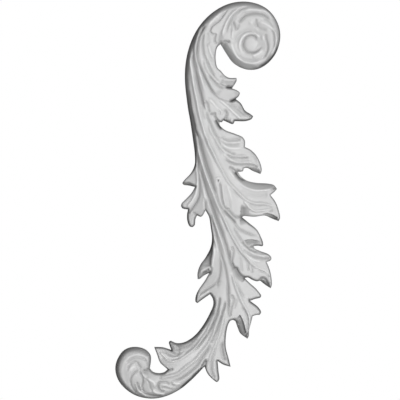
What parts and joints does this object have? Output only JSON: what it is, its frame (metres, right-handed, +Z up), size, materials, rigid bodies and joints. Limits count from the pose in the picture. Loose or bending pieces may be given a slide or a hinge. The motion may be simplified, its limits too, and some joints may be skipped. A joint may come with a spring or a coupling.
{
  "type": "scroll onlay",
  "caption": "Tall S-shaped acanthus scroll onlay with a large volute at the head, a small scroll at the foot, lobed leaves along one side and a flat back.",
  "frame": {"origin": "on the flat back, in the middle of the stem at about half the height", "axes": "+Z up along the height, -Y out of the wall towards the viewer, +X to the viewer's right"},
  "size_m": [0.1288, 0.0213, 0.31],
  "materials": {
    "primer": "smooth satin white factory primer"
  },
  "bodies": {
    "root": {"scroll_onlay": "primer"}
  },
  "joints": []
}
